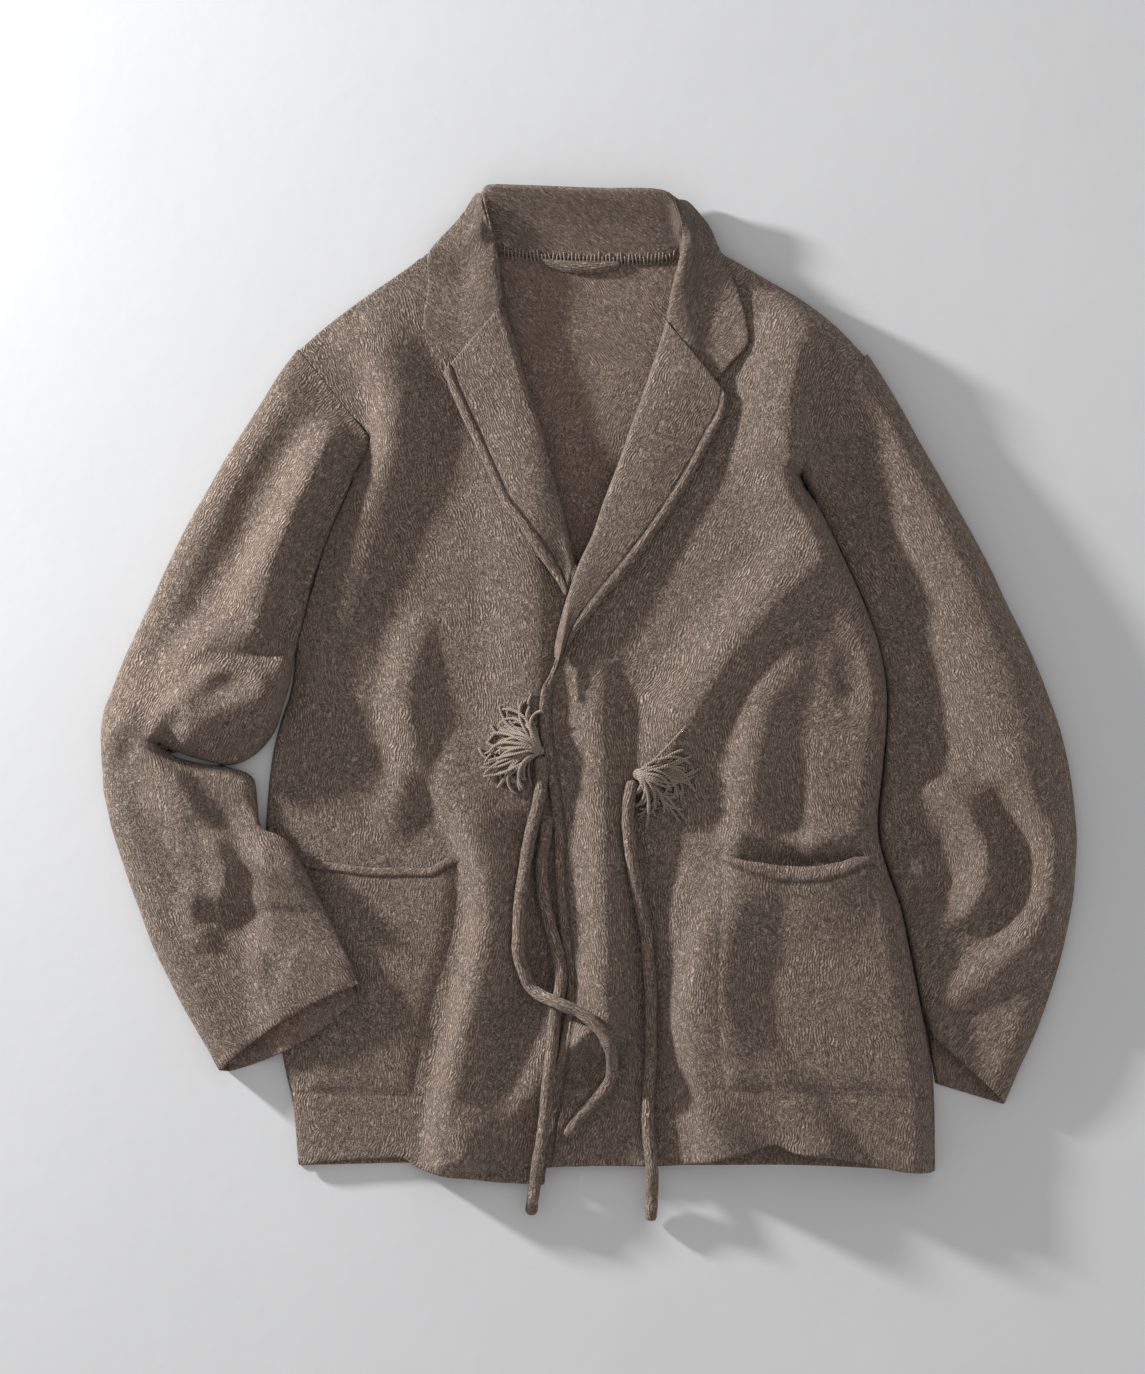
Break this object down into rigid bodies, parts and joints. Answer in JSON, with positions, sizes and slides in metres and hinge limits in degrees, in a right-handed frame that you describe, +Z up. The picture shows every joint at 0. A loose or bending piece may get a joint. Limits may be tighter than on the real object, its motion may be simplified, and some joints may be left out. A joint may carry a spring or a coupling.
{
  "type": "knit jacket",
  "caption": "Soft knitted wool jacket in mottled grey-brown, laid flat, with notched collar, patch pockets and long knitted ties that end in yarn tassels",
  "frame": {"origin": "centre of the box round the jacket without its ties and tassels, on the surface it rests on", "axes": "+X towards the wearer's left (image right), +Y towards the collar, +Z up from the surface the jacket lies on"},
  "size_m": [0.7606, 0.8067, 0.0413],
  "materials": {
    "jacket_knit": "brushed, matte melange wool knit",
    "inside_knit": "reverse side of the knit, fuzzy and matte",
    "cord_knit": "tube knit, matte",
    "yarn": "twisted wool yarn, matte"
  },
  "bodies": {
    "root": {"back": "inside_knit", "right_front": "jacket_knit", "left_front": "jacket_knit", "right_lapel": "jacket_knit", "left_lapel": "jacket_knit", "collar": "jacket_knit", "right_sleeve": "jacket_knit", "left_sleeve": "jacket_knit", "right_pocket": "jacket_knit", "left_pocket": "jacket_knit", "hanger_loop": "cord_knit", "tie_right": "cord_knit", "tie_right_under": "cord_knit", "tie_left": "cord_knit", "tassel_right": "yarn", "tassel_left": "yarn"}
  },
  "joints": []
}
